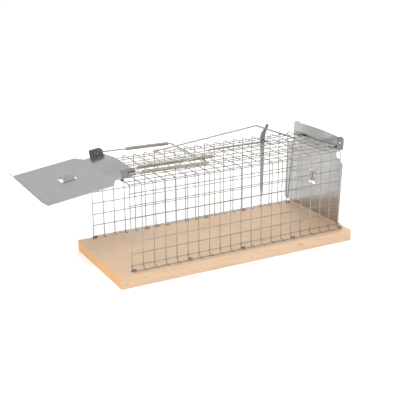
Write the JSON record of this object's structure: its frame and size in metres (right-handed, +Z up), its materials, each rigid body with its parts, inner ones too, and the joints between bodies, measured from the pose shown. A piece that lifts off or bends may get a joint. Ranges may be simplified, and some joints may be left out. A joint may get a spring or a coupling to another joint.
{
  "type": "live catch trap",
  "caption": "Wire-mesh live catch tunnel trap on a wooden board, with a sprung sheet-metal door set open at one end, a closed door at the other, and a hanging trigger blade.",
  "frame": {"origin": "centre of the wooden board's underside", "axes": "+X along the tunnel from the open door to the closed door, +Y towards the rear wall, +Z up"},
  "size_m": [0.3563, 0.1255, 0.1241],
  "materials": {
    "board": "smooth unvarnished pale softwood",
    "mesh": "dull galvanised wire",
    "sheet": "satin zinc-plated sheet",
    "lug": "dark zinc-plated sheet",
    "wire": "drawn steel wire",
    "spring": "close-wound spring wire",
    "staple": "dark steel wire",
    "blade": "satin sheet steel"
  },
  "bodies": {
    "base": {"base_board": "board", "front_staples": "staple", "rear_staples": "staple", "front_wall_mesh": "mesh", "rear_wall_mesh": "mesh", "roof_mesh": "mesh", "front_foot_mesh": "mesh", "rear_foot_mesh": "mesh", "pivot_wire": "wire"},
    "left_door": {"left_door_plate": "sheet", "left_door_ears": "lug", "left_bait_bridge": "sheet", "left_hinge_hooks": "lug"},
    "right_door": {"right_door_plate": "sheet", "right_door_ears": "lug", "right_bait_bridge": "sheet", "right_hinge_hooks": "lug"},
    "bail": {"bail_front_leg": "wire", "bail_rear_leg": "wire", "bail_cross_bar": "wire", "front_leg_spring": "spring", "rear_leg_spring": "spring", "assist_spring": "spring", "spring_link": "wire", "spring_stay": "wire"},
    "setting_rod": {"rod_arm": "wire", "rod_heel": "wire", "rod_tip": "wire"},
    "trigger": {"trigger_blade": "blade", "trigger_catch": "blade", "trigger_eyelets": "blade"}
  },
  "joints": [
    {"name": "left_door_hinge", "type": "hinge", "parent": "base", "child": "left_door", "pos_m": [-0.1222, 0.0066, 0.10225], "axis": [0, -1, 0], "range_deg": [0, 84.4]},
    {"name": "bail_pivot", "type": "hinge", "parent": "left_door", "child": "bail", "pos_m": [-0.11792, 0.0066, 0.11133], "axis": [0, 1, 0], "range_deg": [0, 84.4]},
    {"name": "right_door_hinge", "type": "hinge", "parent": "base", "child": "right_door", "pos_m": [0.1318, 0.0066, 0.10225], "axis": [0, -1, 0], "range_deg": [0, 84.4]},
    {"name": "trigger_tilt", "type": "hinge", "parent": "base", "child": "trigger", "pos_m": [0.0772, 0.028, 0.10355], "axis": [-1, 0, 0], "range_deg": [0, 25]},
    {"name": "setting_rod_lift", "type": "hinge", "parent": "base", "child": "setting_rod", "pos_m": [0.1191, 0.028, 0.10225], "axis": [0, 1, 0], "range_deg": [0, 6]}
  ],
  "couplings": [
    {"joint": "bail_pivot", "follows": "left_door_hinge", "ratio": 1},
    {"joint": "setting_rod_lift", "follows": "trigger_tilt", "ratio": 0.24}
  ]
}
